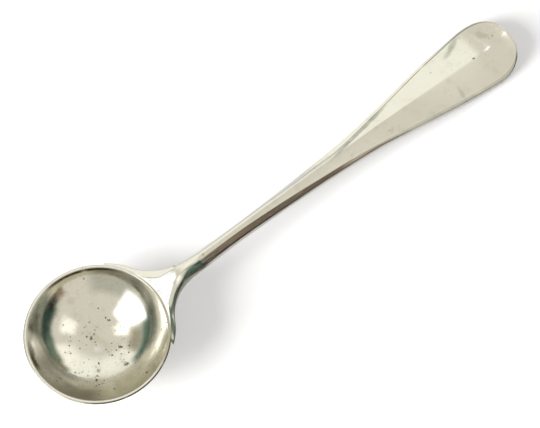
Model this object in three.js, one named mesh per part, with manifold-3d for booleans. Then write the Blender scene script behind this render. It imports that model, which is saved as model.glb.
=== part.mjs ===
// Salt spoon with a round bowl and a ridged stem that turns up at the tip.
// The spoon lies as it rests on a table: z = 0 is the table, +X runs from the bowl to the tip, and the
// origin is the middle of the small worn flat under the bowl. Lengths are in millimetres.

import * as THREE from "three";
import { mergeVertices } from "three/addons/utils/BufferGeometryUtils.js";
import Module from "manifold-3d";

const wasm = await Module();
wasm.setup();

// Bowl
const bowlInnerRadius = 11.0;
const rimWall = 0.6;
const bowlDepth = 6.4;
const bowlFloor = 0.75;
const wornFlatRadius = 2.4;

// Solder between the bowl and the stem, with the clearance that each face of it keeps
const solderThickness = 0.15;
const solderClearance = 0.08;

// Web and wings, which clasp the bowl at its rim
const wingFilletRadius = 9.2;
const wingLip = 0.3;
const wingReach = THREE.MathUtils.degToRad(48);
const wingDepth = 1.5;
const wingShoulder = 0.6;
const webLength = 2.6;
const webDepth = 2.5;
const webShoulder = 1.05;
const webKeelDepth = 3.9;

// Heel that laps under the bowl and thins towards its end
const heelReach = 5.4;
const heelHalfWidth = 2.3;
const heelThickness = 0.95;
const heelTaper = 0.65;

// Stem: how far each station stands from the one before it, from the web's end on
const neckRun = 5.8;
const narrowRun = 10;
const middleRun = 16;
const flareRun = 10;
const bladeRun = 8;
const broadRun = 8;
const restRun = 8;
const tipLength = 8;

// Stem: half its width at each station
const neckHalfWidth = 1.35;
const narrowHalfWidth = 1.3;
const middleHalfWidth = 1.85;
const flareHalfWidth = 2.55;
const bladeHalfWidth = 3.65;
const broadHalfWidth = 4.85;
const endHalfWidth = 5.72;

// Stem: height of its back above the table at each station, which gives its arched side view
const neckBack = 3.6;
const narrowBack = 3.2;
const middleBack = 2.3;
const flareBack = 1.8;
const bladeBack = 1.3;
const broadBack = 0.6;

// Stem: thickness from back to ridge, and how far the ridge stands over the edges
const neckThickness = 2.4;
const narrowThickness = 2.38;
const middleThickness = 2.32;
const bladeThickness = 2.55;
const endThickness = 2.3;
const tipThickness = 1.7;
const neckRidge = 0.2;
const narrowRidge = 0.35;
const middleRidge = 0.45;
const flareRidge = 0.7;
const bladeRidge = 0.9;
const endRidge = 0.7;
const tipRidge = 0.12;

// Stem: the bevelled shoulders beside the ridge, each as wide as it is deep, and how much of their fall
// is straight
const neckShoulder = 1.05;
const narrowShoulder = 0.95;
const middleShoulder = 0.7;
const flareShoulder = 0.45;
const endShoulder = 0.35;
const shoulderBevel = 0.8;

// Stem: the rest of its section
const backBulge = 0.4;
const neckBackBulge = 0.65;
const underRound = 0.4;
const ridgeOffset = 0.25;

// Tip
const tipUpturn = 1.9;
const upturnLength = 6.8;
const tipFlare = 0.85;
const tipBluntness = 2.62;
const tipSquareness = 2.27;
const tipNose = 0.005;

// Depth that the handle's back is worn flat, where it rests on the table
const backWear = 0.06;

// Facets
const lathSegments = 96;
const bowlArcSteps = 14;
const stationStep = 1.2;
const tipSteps = 20;
const roundSteps = 4;

// What follows from the sizes above
const bowlOuterRadius = bowlInnerRadius + rimWall;
const rimHeight = bowlDepth + bowlFloor;
const seamGap = solderThickness + 2 * solderClearance;

// The hollow is part of one sphere. The outside is part of another, through the outer edges of the rim
// and of the worn flat.
const hollowSphere = (bowlInnerRadius ** 2 + bowlDepth ** 2) / (2 * bowlDepth);
const hollowCentre = bowlFloor + hollowSphere;
const outsideCentre = (bowlOuterRadius ** 2 - wornFlatRadius ** 2 + rimHeight ** 2) / (2 * rimHeight);
const outsideSphere = Math.hypot(wornFlatRadius, outsideCentre);

// Radius, at the rim's height, of the outside grown by a distance
function radiusAtRim(grow) {
  return Math.sqrt((outsideSphere + grow) ** 2 - (outsideCentre - rimHeight) ** 2);
}

// Points on a circle whose middle is on the axis, by the angle from straight down
function arc(centre, radius, from, to) {
  const points = [];
  for (let i = 0; i <= bowlArcSteps; i++) {
    const angle = THREE.MathUtils.lerp(from, to, i / bowlArcSteps);
    points.push(new THREE.Vector2(radius * Math.sin(angle), centre - radius * Math.cos(angle)));
  }
  return points;
}

// Closes a lathe's profile on the axis, exactly
function spin(points) {
  points[0].x = 0;
  points[points.length - 1].x = 0;
  const geometry = new THREE.LatheGeometry(points, lathSegments);
  return geometry.rotateX(Math.PI / 2);
}

function bowlGeometry() {
  const flatAngle = Math.atan2(wornFlatRadius, outsideCentre);
  const edgeAngle = Math.atan2(bowlOuterRadius, outsideCentre - rimHeight);
  const innerAngle = Math.atan2(bowlInnerRadius, hollowCentre - rimHeight);
  const outside = arc(outsideCentre, outsideSphere, flatAngle, edgeAngle);
  const inside = arc(hollowCentre, hollowSphere, innerAngle, 0);
  return spin([new THREE.Vector2(0, 0), ...outside, ...inside]);
}

// The bowl's outside, filled, grown by a distance and carried straight up past the rim
function bowlEnvelope(grow) {
  const radius = radiusAtRim(grow);
  const top = rimHeight + bowlOuterRadius;
  const edgeAngle = Math.atan2(radius, outsideCentre - rimHeight);
  const side = arc(outsideCentre, outsideSphere + grow, 0, edgeAngle);
  return spin([...side, new THREE.Vector2(radius, top), new THREE.Vector2(0, top)]);
}

// A smooth value along the stem, through the values given at its stations
function through(stations, x) {
  const last = stations.length - 1;
  if (x <= stations[0][0]) return stations[0][1];
  if (x >= stations[last][0]) return stations[last][1];
  const i = stations.findIndex(([at], k) => k < last && x <= stations[k + 1][0] && x >= at);
  const slope = (k) => {
    const a = stations[Math.max(k - 1, 0)];
    const b = stations[Math.min(k + 1, last)];
    return (b[1] - a[1]) / (b[0] - a[0]);
  };
  const [x0, v0] = stations[i];
  const [x1, v1] = stations[i + 1];
  const span = x1 - x0;
  const t = (x - x0) / span;
  const bend = t * (1 - t) * span;
  const mix = t * t * (3 - 2 * t);
  return v0 + (v1 - v0) * mix + bend * ((1 - t) * slope(i) - t * slope(i + 1));
}

// Where each station stands, measured from the middle of the bowl
const webX = bowlOuterRadius + webLength;
const neckX = webX + neckRun;
const narrowX = neckX + narrowRun;
const middleX = narrowX + middleRun;
const flareX = middleX + flareRun;
const bladeX = flareX + bladeRun;
const broadX = bladeX + broadRun;
const restX = broadX + restRun;
const tipX = restX + tipLength;

// In plan, each wing is a fillet that touches the neck's side and a circle a lip wider than the seam
const seamRadius = radiusAtRim(seamGap);
const wingCircle = seamRadius + wingLip;
const filletY = neckHalfWidth + wingFilletRadius;
const filletX = Math.sqrt((wingCircle + wingFilletRadius) ** 2 - filletY ** 2);
const touchX = (filletX * wingCircle) / (wingCircle + wingFilletRadius);
const wingEndX = seamRadius * Math.cos(wingReach);

const halfWidths = [
  [filletX, neckHalfWidth],
  [narrowX, narrowHalfWidth],
  [middleX, middleHalfWidth],
  [flareX, flareHalfWidth],
  [bladeX, bladeHalfWidth],
  [broadX, broadHalfWidth],
  [restX, endHalfWidth],
  [tipX, endHalfWidth + tipFlare],
];

function halfWidthAt(x) {
  if (x < touchX) {
    const lip = (wingLip * (x - wingEndX)) / (touchX - wingEndX);
    return Math.sqrt((seamRadius + lip) ** 2 - x ** 2);
  }
  if (x < filletX) return filletY - Math.sqrt(wingFilletRadius ** 2 - (filletX - x) ** 2);
  const u = Math.max(0, (x - restX) / tipLength);
  return through(halfWidths, x) * (1 - u ** tipBluntness) ** (1 / tipSquareness);
}

// How far the rounding of the tip's end takes the upper and lower faces in, near the tip
function noseAt(x) {
  const u = Math.max(0, 1 - (tipX - x) / underRound);
  return underRound * (1 - Math.sqrt(1 - u ** 2));
}

function upturnAt(x) {
  const u = Math.max(0, (x - tipX + upturnLength) / upturnLength);
  return tipUpturn * u ** 2;
}

const backs = [
  [webX, rimHeight - webKeelDepth],
  [neckX, neckBack],
  [narrowX, narrowBack],
  [middleX, middleBack],
  [flareX, flareBack],
  [bladeX, bladeBack],
  [broadX, broadBack],
  [restX, -backWear],
];
const tops = [
  [webX, rimHeight],
  [neckX, neckBack + neckThickness],
  [narrowX, narrowBack + narrowThickness],
  [middleX, middleBack + middleThickness],
  [bladeX, bladeBack + bladeThickness],
  [restX, endThickness - backWear],
  [tipX, tipThickness - backWear],
];
const ridges = [
  [webX, 0],
  [neckX, neckRidge],
  [narrowX, narrowRidge],
  [middleX, middleRidge],
  [flareX, flareRidge],
  [bladeX, bladeRidge],
  [restX, endRidge],
  [tipX, tipRidge],
];
const bulges = [
  [webX, webKeelDepth - webDepth],
  [neckX, neckBackBulge],
  [middleX, neckBackBulge],
  [bladeX, backBulge],
];
const wingBulges = [
  [wingEndX, webKeelDepth - wingDepth],
  [webX, webKeelDepth - webDepth],
];
const shoulders = [
  [wingEndX, wingShoulder],
  [webX, webShoulder],
  [neckX, neckShoulder],
  [narrowX, narrowShoulder],
  [middleX, middleShoulder],
  [flareX, flareShoulder],
  [restX, endShoulder],
];

// One closed section of the stem, seen along X, as points that run round it from the ridge
function stemSection(x) {
  const lift = upturnAt(x);
  const nose = noseAt(x);
  const halfWidth = halfWidthAt(x);
  const back = through(backs, x) + lift + nose;
  const top = through(tops, x) + lift - nose;
  const edge = top - through(ridges, x);
  const side = back + (x < webX ? through(wingBulges, x) : through(bulges, x));
  const shoulder = Math.min(through(shoulders, x), 0.9 * halfWidth);
  const drop = Math.min(shoulder, 0.65 * (edge - side));
  const round = Math.min(underRound, 0.9 * halfWidth, 0.3 * (edge - side));
  const half = [];
  for (let i = 0; i <= roundSteps; i++) {
    const turn = (Math.PI / 2) * (i / roundSteps);
    const fall = shoulderBevel * Math.sin(turn) + (1 - shoulderBevel) * (1 - Math.cos(turn));
    half.push([halfWidth - shoulder * (1 - Math.sin(turn)), edge - drop * fall]);
  }
  for (let i = 0; i <= roundSteps; i++) {
    const turn = (Math.PI / 2) * (i / roundSteps);
    half.push([halfWidth - round * (1 - Math.cos(turn)), side + round * (1 - Math.sin(turn))]);
  }
  const ridgeY = x < neckX ? 0 : Math.min(ridgeOffset, 0.5 * (halfWidth - shoulder));
  return [
    [ridgeY, top],
    ...half,
    [0, back],
    ...half.toReversed().map(([y, z]) => [-y, z]),
  ];
}

// Joins a row of sections that all have as many points into one closed skin
function loft(sections) {
  const count = sections[0].points.length;
  const positions = [];
  const index = [];
  for (const { x, points } of sections) {
    for (const [y, z] of points) positions.push(x, y, z);
  }
  for (let s = 0; s + 1 < sections.length; s++) {
    for (let k = 0; k < count; k++) {
      const a = s * count + k;
      const b = s * count + ((k + 1) % count);
      index.push(a, a + count, b, b, a + count, b + count);
    }
  }
  const last = (sections.length - 1) * count;
  for (let k = 1; k + 1 < count; k++) {
    index.push(0, k, k + 1);
    index.push(last, last + k + 1, last + k);
  }
  const geometry = new THREE.BufferGeometry();
  geometry.setAttribute("position", new THREE.Float32BufferAttribute(positions, 3));
  geometry.setIndex(index);
  return geometry;
}

function stemBarGeometry() {
  const places = [];
  const steps = Math.ceil((restX - wingEndX) / stationStep);
  for (let i = 0; i < steps; i++) places.push(THREE.MathUtils.lerp(wingEndX, restX, i / steps));
  for (let i = 0; i < tipSteps; i++) {
    places.push(restX + tipLength * (1 - (1 - i / tipSteps) ** tipSquareness));
  }
  places.push(tipX - tipNose);
  return loft(places.map((x) => ({ x, points: stemSection(x) })));
}

// Plan of the heel, a tongue with a round end, as a prism from the table to the web
function heelPrism() {
  const endX = bowlOuterRadius - heelReach;
  const plan = new THREE.Shape();
  plan.moveTo(webX, -heelHalfWidth);
  plan.lineTo(webX, heelHalfWidth);
  plan.lineTo(endX + heelHalfWidth, heelHalfWidth);
  plan.absarc(endX + heelHalfWidth, 0, heelHalfWidth, Math.PI / 2, (3 * Math.PI) / 2, false);
  plan.closePath();
  const depth = rimHeight - wingDepth;
  return new THREE.ExtrudeGeometry(plan, { depth, bevelEnabled: false, curveSegments: 8 });
}

// The half-space below the table, wide enough for the whole spoon
function belowTable() {
  const size = 4 * tipX;
  return new THREE.BoxGeometry(size, size, size).translate(0, 0, -size / 2);
}

function toSolid(geometry) {
  const bare = geometry.clone();
  bare.deleteAttribute("normal");
  bare.deleteAttribute("uv");
  const merged = mergeVertices(bare, 1e-4);
  return new wasm.Manifold(
    new wasm.Mesh({
      numProp: 3,
      vertProperties: merged.attributes.position.array,
      triVerts: new Uint32Array(merged.index.array),
    }),
  );
}

function toGeometry(solid) {
  const mesh = solid.getMesh();
  const geometry = new THREE.BufferGeometry();
  geometry.setAttribute("position", new THREE.BufferAttribute(mesh.vertProperties, 3));
  geometry.setIndex(new THREE.BufferAttribute(mesh.triVerts, 1));
  geometry.computeVertexNormals();
  return geometry;
}

// The heel takes the curve of the bowl's outside, moved along the stem so that the heel thins below
function heelSolid() {
  const skin = bowlEnvelope(seamGap - heelTaper).translate(heelThickness + heelTaper, 0, 0);
  return toSolid(skin).intersect(toSolid(heelPrism()));
}

const stemBlank = toSolid(stemBarGeometry()).add(heelSolid()).subtract(toSolid(belowTable()));
const stemSolid = stemBlank.subtract(toSolid(bowlEnvelope(seamGap)));
const solderShell = toSolid(bowlEnvelope(solderClearance + solderThickness)).subtract(
  toSolid(bowlEnvelope(solderClearance)),
);
const solderSolid = solderShell.intersect(stemBlank);

function silver(colour, roughness) {
  return new THREE.MeshStandardMaterial({ color: colour, roughness, metalness: 1 });
}

function piece(name, geometry, material) {
  const mesh = new THREE.Mesh(geometry, material);
  mesh.name = name;
  return mesh;
}

const saltSpoon = new THREE.Group();
saltSpoon.add(
  piece("bowl", bowlGeometry(), silver(0xd6d2c4, 0.28)),
  piece("stem", toGeometry(stemSolid), silver(0xd9d5c8, 0.25)),
  piece("solder_seam", toGeometry(solderSolid), silver(0xb9b3a2, 0.45)),
);

export default saltSpoon;
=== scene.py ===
"""Salt spoon in worn silver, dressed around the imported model.

The spoon lies as it rests on a table: +X runs from the bowl to the tip, +Z is up and the table is
z = 0. Sizes in the classes are millimetres, and meshes are in metres.
"""
from __future__ import annotations

import logging
import math
from dataclasses import dataclass
from enum import Enum
from typing import Any, Mapping, Sequence

import bmesh
import bpy
from mathutils import Matrix, Vector

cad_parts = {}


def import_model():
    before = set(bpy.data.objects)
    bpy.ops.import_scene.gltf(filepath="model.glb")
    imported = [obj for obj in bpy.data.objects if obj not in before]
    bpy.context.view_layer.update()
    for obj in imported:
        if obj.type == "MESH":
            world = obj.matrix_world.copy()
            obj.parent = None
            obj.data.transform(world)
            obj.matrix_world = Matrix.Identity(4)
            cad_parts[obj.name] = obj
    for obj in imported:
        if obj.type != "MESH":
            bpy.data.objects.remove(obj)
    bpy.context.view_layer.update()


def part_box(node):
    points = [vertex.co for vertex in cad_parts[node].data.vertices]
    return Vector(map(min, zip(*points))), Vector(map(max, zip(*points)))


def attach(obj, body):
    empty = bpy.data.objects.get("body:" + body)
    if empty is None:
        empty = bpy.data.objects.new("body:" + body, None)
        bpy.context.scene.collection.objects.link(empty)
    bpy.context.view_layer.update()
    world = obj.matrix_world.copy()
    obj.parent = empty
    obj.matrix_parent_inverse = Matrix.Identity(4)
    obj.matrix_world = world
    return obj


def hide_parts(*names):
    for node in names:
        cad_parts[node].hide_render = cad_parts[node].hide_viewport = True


MM = 0.001
LOG = logging.getLogger("salt_spoon")
SHEET = "sheet"
WHITE = (1.0, 1.0, 1.0)

Colour = tuple[float, float, float]
Point = tuple[float, float, float]
Station = tuple[float, float]


class Wire:
    """One output of a node tree, with the operators that add Math nodes."""

    def __init__(self, board: NodeBoard, socket: bpy.types.NodeSocket) -> None:
        """Keeps the board and the socket that the wire leaves."""
        self.board = board
        self.socket = socket

    def maths(self, operation: str, *values: Wire | float) -> Wire:
        """Adds one Math node.

        Args:
            operation: the node's operation.
            values: its inputs, in order.

        Returns:
            The node's value.
        """
        return self.board.add("ShaderNodeMath", {"operation": operation}, dict(enumerate(values)))

    def __add__(self, other: Wire | float) -> Wire:
        """Sum."""
        return self.maths("ADD", self, other)

    def __radd__(self, other: float) -> Wire:
        """Sum with the number first."""
        return self.maths("ADD", other, self)

    def __sub__(self, other: Wire | float) -> Wire:
        """Difference."""
        return self.maths("SUBTRACT", self, other)

    def __rsub__(self, other: float) -> Wire:
        """Difference with the number first."""
        return self.maths("SUBTRACT", other, self)

    def __mul__(self, other: Wire | float) -> Wire:
        """Product."""
        return self.maths("MULTIPLY", self, other)

    def __rmul__(self, other: float) -> Wire:
        """Product with the number first."""
        return self.maths("MULTIPLY", other, self)

    def __truediv__(self, other: Wire | float) -> Wire:
        """Quotient."""
        return self.maths("DIVIDE", self, other)

    def output(self, name: str) -> Wire:
        """Another output of the same node."""
        return Wire(self.board, self.board.socket_of(self.socket.node.outputs, name))

    def sine(self) -> Wire:
        """Sine of an angle in radians."""
        return self.maths("SINE", self)

    def cosine(self) -> Wire:
        """Cosine of an angle in radians."""
        return self.maths("COSINE", self)

    def arcsine(self) -> Wire:
        """Angle in radians whose sine this is."""
        return self.maths("ARCSINE", self)

    def angle_of(self, across: Wire) -> Wire:
        """Angle in radians of the point this far along and the other value across."""
        return self.maths("ARCTAN2", across, self)

    def size(self) -> Wire:
        """The value without its sign."""
        return self.maths("ABSOLUTE", self)

    def distance(self, other: Wire) -> Wire:
        """Distance from the origin of the point this far along and the other value across."""
        return self.maths("SQRT", self * self + other * other)

    def least(self, other: Wire | float) -> Wire:
        """The lower of two values."""
        return self.maths("MINIMUM", self, other)

    def most(self, other: Wire | float) -> Wire:
        """The higher of two values."""
        return self.maths("MAXIMUM", self, other)

    def ramp(self, low: float, high: float, start: float = 0.0, end: float = 1.0) -> Wire:
        """Straight ramp from start at low to end at high, held level outside them."""
        values = {"Value": self, "From Min": low, "From Max": high, "To Min": start, "To Max": end}
        return self.board.add("ShaderNodeMapRange", {}, values, "Result")

    def ease(self, low: float, high: float) -> Wire:
        """Smooth step from 0 at low to 1 at high; low above high falls instead."""
        values = {"Value": self, "From Min": low, "From Max": high}
        smooth = {"interpolation_type": "SMOOTHSTEP"}
        return self.board.add("ShaderNodeMapRange", smooth, values, "Result")


class NodeBoard:
    """Adds nodes to one tree."""

    def __init__(self, tree: bpy.types.NodeTree) -> None:
        """Keeps the tree."""
        self.tree = tree

    @classmethod
    def emptied(cls, owner: bpy.types.Material | bpy.types.World) -> NodeBoard:
        """The emptied tree of a material or a world."""
        owner.use_nodes = True
        owner.node_tree.nodes.clear()
        return cls(owner.node_tree)

    def add(
        self,
        kind: str,
        settings: Mapping[str, Any] | None = None,
        values: Mapping[str | int, Any] | None = None,
        output: str | int = 0,
    ) -> Wire:
        """Adds one node.

        Args:
            kind: the node's type.
            settings: its settings, set first.
            values: a number, colour or wire for each named or numbered input.
            output: the output that is wanted.

        Returns:
            That output.
        """
        node = self.tree.nodes.new(kind)
        for name, value in (settings or {}).items():
            setattr(node, name, value)
        for key, value in (values or {}).items():
            socket = self.socket_of(node.inputs, key)
            if isinstance(value, Wire):
                self.tree.links.new(value.socket, socket)
            else:
                socket.default_value = value
        return Wire(self, self.socket_of(node.outputs, output))

    @staticmethod
    def socket_of(sockets: Any, key: str | int) -> bpy.types.NodeSocket:
        """The socket of that number, or the one in use of that name."""
        if isinstance(key, int):
            return sockets[key]
        return next(socket for socket in sockets if socket.name == key and socket.enabled)

    def mix(self, amount: Wire | float, first: Any, second: Any) -> Wire:
        """Mixes two colours, each a wire or a plain colour."""
        values = {"Factor": amount, "A": self.full(first), "B": self.full(second)}
        return self.add("ShaderNodeMix", {"data_type": "RGBA"}, values, "Result")

    @staticmethod
    def full(colour: Any) -> Any:
        """A plain colour with its alpha, or the wire as it is."""
        return colour if isinstance(colour, Wire) else (*colour, 1.0)

    def noise(self, place: Wire, size: float, detail: float = 3.0, roughness: float = 0.5) -> Wire:
        """Noise from 0 to 1.

        Args:
            place: the coordinates.
            size: how wide its patches are, in the coordinates' unit.
            detail: how many finer layers it has.
            roughness: how strong they are.

        Returns:
            The noise's value.
        """
        values = {"Vector": place, "Scale": 1.0 / size, "Detail": detail, "Roughness": roughness}
        return self.add("ShaderNodeTexNoise", {"noise_dimensions": "3D"}, values, "Fac")

    def stretched(self, place: Wire, stretch: Point, turn: float = 0.0) -> Wire:
        """Coordinates turned about Z by an angle in degrees, then stretched along their axes."""
        values = {"Vector": place, "Rotation": (0.0, 0.0, math.radians(turn)), "Scale": stretch}
        return self.add("ShaderNodeMapping", {"vector_type": "POINT"}, values, "Vector")

    def parts(self, place: Wire) -> tuple[Wire, Wire, Wire]:
        """The three values of a vector."""
        x = self.add("ShaderNodeSeparateXYZ", {}, {"Vector": place}, "X")
        return x, x.output("Y"), x.output("Z")

    def joined(self, x: Wire, y: Wire, z: Wire) -> Wire:
        """A vector from its three values."""
        return self.add("ShaderNodeCombineXYZ", {}, {"X": x, "Y": y, "Z": z}, "Vector")

    def close(self, kind: str, shader: Wire) -> None:
        """Ends the tree in an output node of that type."""
        end = self.tree.nodes.new(kind)
        self.tree.links.new(shader.socket, end.inputs[0])


def toward(place: tuple[Wire, Wire], degrees: float) -> Wire:
    """How far a point lies towards an angle from X."""
    turn = math.radians(degrees)
    return place[0] * math.cos(turn) + place[1] * math.sin(turn)


def bearing(place: tuple[Wire, Wire], degrees: float) -> Wire:
    """Angle in degrees by which a point lies past an angle from X, -180 to 180."""
    return toward(place, degrees).angle_of(toward(place, degrees + 90.0)) * math.degrees(1.0)


class Draw(Enum):
    """Which way the fine scratches of a finish mostly lie, as angles from X in degrees."""

    BOWL = (-2.0, 9.0, 63.0)
    STEM = (1.0, -14.0, 38.0)


@dataclass(frozen=True)
class WornSilver:
    """Old silver: a warm polish with tarnish, fine scratches and small pits.

    Args:
        name: the material's name.
        draw: which way most of its scratches lie.
        bright: colour where it is rubbed clean.
        dull: colour of the thin tarnish.
        dirt: colour in the pits and the dirt, and of the painted shade and reflections.
        shadow: colour of the thick tarnish, and of the painted reflections of the dark room.
        polish: roughness where it is rubbed clean.
        tarnish: how much of it the tarnish covers, 0 to 1.
        pits: how common the pits are, 0 to 1.
        hairlines: how much the scratches dull it, 0 to 1.
        dents: how uneven it is under the polish, 0 to 1.
        relief: strength of the dents, scratches and pits, 0 to 1.
        relief_depth: how deep they go, in millimetres.
    """

    name: str
    draw: Draw
    bright: Colour = (0.93, 0.915, 0.86)
    dull: Colour = (0.56, 0.53, 0.41)
    dirt: Colour = (0.09, 0.075, 0.035)
    shadow: Colour = (0.12, 0.16, 0.13)
    polish: float = 0.09
    tarnish: float = 0.3
    pits: float = 0.4
    hairlines: float = 0.3
    dents: float = 0.3
    relief: float = 0.3
    relief_depth: float = 0.02

    def material(self) -> bpy.types.Material:
        """Builds the material.

        Returns:
            The material, on Object coordinates in millimetres.
        """
        material = bpy.data.materials.new(self.name)
        board = NodeBoard.emptied(material)
        metres = board.add("ShaderNodeTexCoord", {}, {}, "Object")
        place = board.stretched(metres, (1 / MM, 1 / MM, 1 / MM))
        film = self.film(board, place)
        scratches = self.scratches(board, place)
        pits = self.pit_mask(board, place)
        dirt_and_painted_shade = self.dirt_and_painted_shade(board, place)
        colour = board.mix(film, self.bright, self.dull)
        colour = board.mix(scratches * self.hairlines, colour, self.dull)
        # The dark colour: tarnish clouds, and on the bowl and stem painted reflections of the dark
        # room.
        colour = board.mix(self.shade(board, place), colour, self.shadow)
        # Pits, dirt, and the painted shade and reflections of the dark lines take the dirt colour.
        colour = board.mix(pits.most(dirt_and_painted_shade), colour, self.dirt)
        roughness = self.polish + film * 0.22 + scratches * 0.14 + pits * 0.35 + dirt_and_painted_shade * 0.2
        height = board.noise(place, 0.9, 2.0) * self.dents - scratches * 0.35 - pits
        deep = {"Strength": self.relief, "Distance": self.relief_depth * MM, "Height": height}
        bump = board.add("ShaderNodeBump", {}, deep, "Normal")
        values = {"Base Color": colour, "Metallic": 1.0, "Roughness": roughness, "Normal": bump}
        metal = board.add("ShaderNodeBsdfPrincipled", {}, values, "BSDF")
        board.close("ShaderNodeOutputMaterial", metal)
        return material

    def film(self, board: NodeBoard, place: Wire) -> Wire:
        """Thin tarnish in soft clouds, 0 to 1."""
        return board.noise(place, 5.0, 6.0, 0.62).ease(0.4, 0.75) * self.tarnish

    def shade(self, board: NodeBoard, place: Wire) -> Wire:
        """Thick dark tarnish, 0 to 1, in a few clouds."""
        return board.noise(place, 4.0, 5.0, 0.6).ease(0.66, 0.86) * 0.3

    def scratches(self, board: NodeBoard, place: Wire) -> Wire:
        """Hairline scratches, 0 to 1, mostly one way."""
        strengths = (1.0, 0.7, 0.45)
        total: Wire | float = 0.0
        for i, (turn, strength) in enumerate(zip(self.draw.value, strengths)):
            run = board.stretched(place, (0.045, 1.0, 1.0), -turn)
            lines = board.noise(run, 0.11 + 0.04 * i, 2.0, 0.6).ease(0.6, 0.74)
            total = lines * strength + total
        return total.least(1.0)

    def pit_mask(self, board: NodeBoard, place: Wire) -> Wire:
        """Small ragged pits of many sizes, 0 to 1, in clusters."""
        clusters = self.clusters(board, place)
        return self.spots(board, place, 0.6, clusters).most(self.spots(board, place, 1.3, clusters))

    def spots(self, board: NodeBoard, place: Wire, cell: float, clusters: Wire) -> Wire:
        """One size of pits.

        Args:
            board: the material's tree.
            place: coordinates in millimetres.
            cell: how far apart they are.
            clusters: how common they are at each place, 0 to 1.

        Returns:
            The mask, 0 to 1.
        """
        ragged = board.noise(place, cell * 0.22, 3.0, 0.6) - 0.5
        values = {"Vector": place, "Scale": 1.0 / cell}
        distance = board.add("ShaderNodeTexVoronoi", {"feature": "F1"}, values, "Distance")
        girth, luck, depth = board.parts(distance.output("Color"))
        reach = girth.ramp(0.0, 1.0, 0.08, 0.3) * (luck - (1.0 - clusters)).ease(-0.02, 0.08)
        pit = (distance + ragged * 0.5 - reach).ease(0.05, -0.05)
        return pit * depth.ramp(0.0, 1.0, 0.3, 0.9)

    def clusters(self, board: NodeBoard, place: Wire) -> Wire:
        """How common pits are at each place, 0 to 1."""
        return board.noise(place, 7.0, 2.0).ease(0.35, 0.75) * self.pits

    def dirt_and_painted_shade(self, board: NodeBoard, place: Wire) -> Wire:
        """Dark dirt that no cloth reaches, 0 to 1."""
        return board.noise(place, 1.2, 3.0).ease(0.78, 0.86)


@dataclass(frozen=True)
class WallArc:
    """One dark arc on the bowl's wall, used for painted reflections of the dark room and for brown
    stains.

    Args:
        angle: of its middle, in degrees from X.
        half_angle: how far it reaches either way.
        radius: from the bowl's axis to its middle.
        drift: how much further out it runs for each degree past its middle.
        half_width: half its width, in millimetres.
        strength: how dark it is, 0 to 1.
    """

    angle: float
    half_angle: float
    radius: float
    drift: float
    half_width: float
    strength: float

    def mask(self, place: tuple[Wire, Wire], cloud: Wire) -> Wire:
        """How strong the arc is at a place, 0 to 1, with its edges made uneven by a noise."""
        past = bearing(place, self.angle)
        radius = place[0].distance(place[1]) + (cloud - 0.5) * 1.2
        away = (radius - past * self.drift - self.radius).size()
        ends = past.size().ease(self.half_angle, 0.5 * self.half_angle)
        return away.ease(1.6 * self.half_width, 0.4 * self.half_width) * ends * self.strength


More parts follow.
